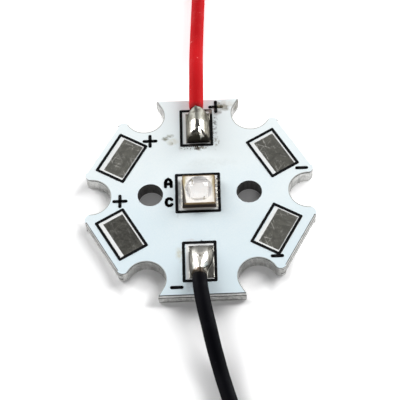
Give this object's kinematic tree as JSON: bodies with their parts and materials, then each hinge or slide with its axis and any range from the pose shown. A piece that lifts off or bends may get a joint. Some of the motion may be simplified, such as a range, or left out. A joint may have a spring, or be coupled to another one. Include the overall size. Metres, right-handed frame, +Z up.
{
  "type": "led star board",
  "caption": "Hexagonal star-shaped metal-core circuit board with a domed surface-mount light emitter in its middle, solder pads round it, and a red and a black lead soldered on.",
  "frame": {"origin": "middle of the board's underside, midway between its two locating holes", "axes": "+Z up, out of the board's printed face; +X through the two locating holes, towards the side without the emitter's A and C marks; +Y towards the pad of the red lead"},
  "size_m": [0.0205, 0.0874, 0.0033],
  "materials": {
    "aluminium": "rolled sheet, bare, with scored and broken edges",
    "dielectric": "filled epoxy",
    "copper": "copper foil",
    "solder_mask": "white lacquer, satin",
    "tinning": "dull, scratched tin",
    "legend_ink": "printed black ink",
    "solder": "bright solder with burnt flux",
    "gold": "gold plating",
    "package": "moulded, dark brown",
    "reflector": "cream, smooth",
    "chip": "pale semiconductor under a thin coat",
    "silicone": "clear silicone",
    "red_insulation": "soft extruded insulation",
    "black_insulation": "soft extruded insulation",
    "tinned_wire": "tinned strands"
  },
  "bodies": {
    "root": {"aluminium_base": "aluminium", "dielectric_layer": "dielectric", "anode_copper": "copper", "cathode_copper": "copper", "thermal_copper": "copper", "solder_mask": "solder_mask", "spare_pad_tinning": "tinning", "pad_frames": "legend_ink", "emitter_solder": "solder", "emitter_terminals": "gold", "emitter_body": "package", "emitter_reflector": "reflector", "emitter_chip": "chip", "bond_wires": "gold", "emitter_dome": "silicone", "red_solder_joint": "solder", "red_conductor": "tinned_wire", "red_lead": "red_insulation", "red_lead_coil": "red_insulation", "red_lead_tail": "red_insulation", "red_lead_tip": "tinned_wire", "black_solder_joint": "solder", "black_conductor": "tinned_wire", "black_lead": "black_insulation", "black_lead_coil": "black_insulation", "black_lead_tail": "black_insulation", "black_lead_tip": "tinned_wire"}
  },
  "joints": []
}
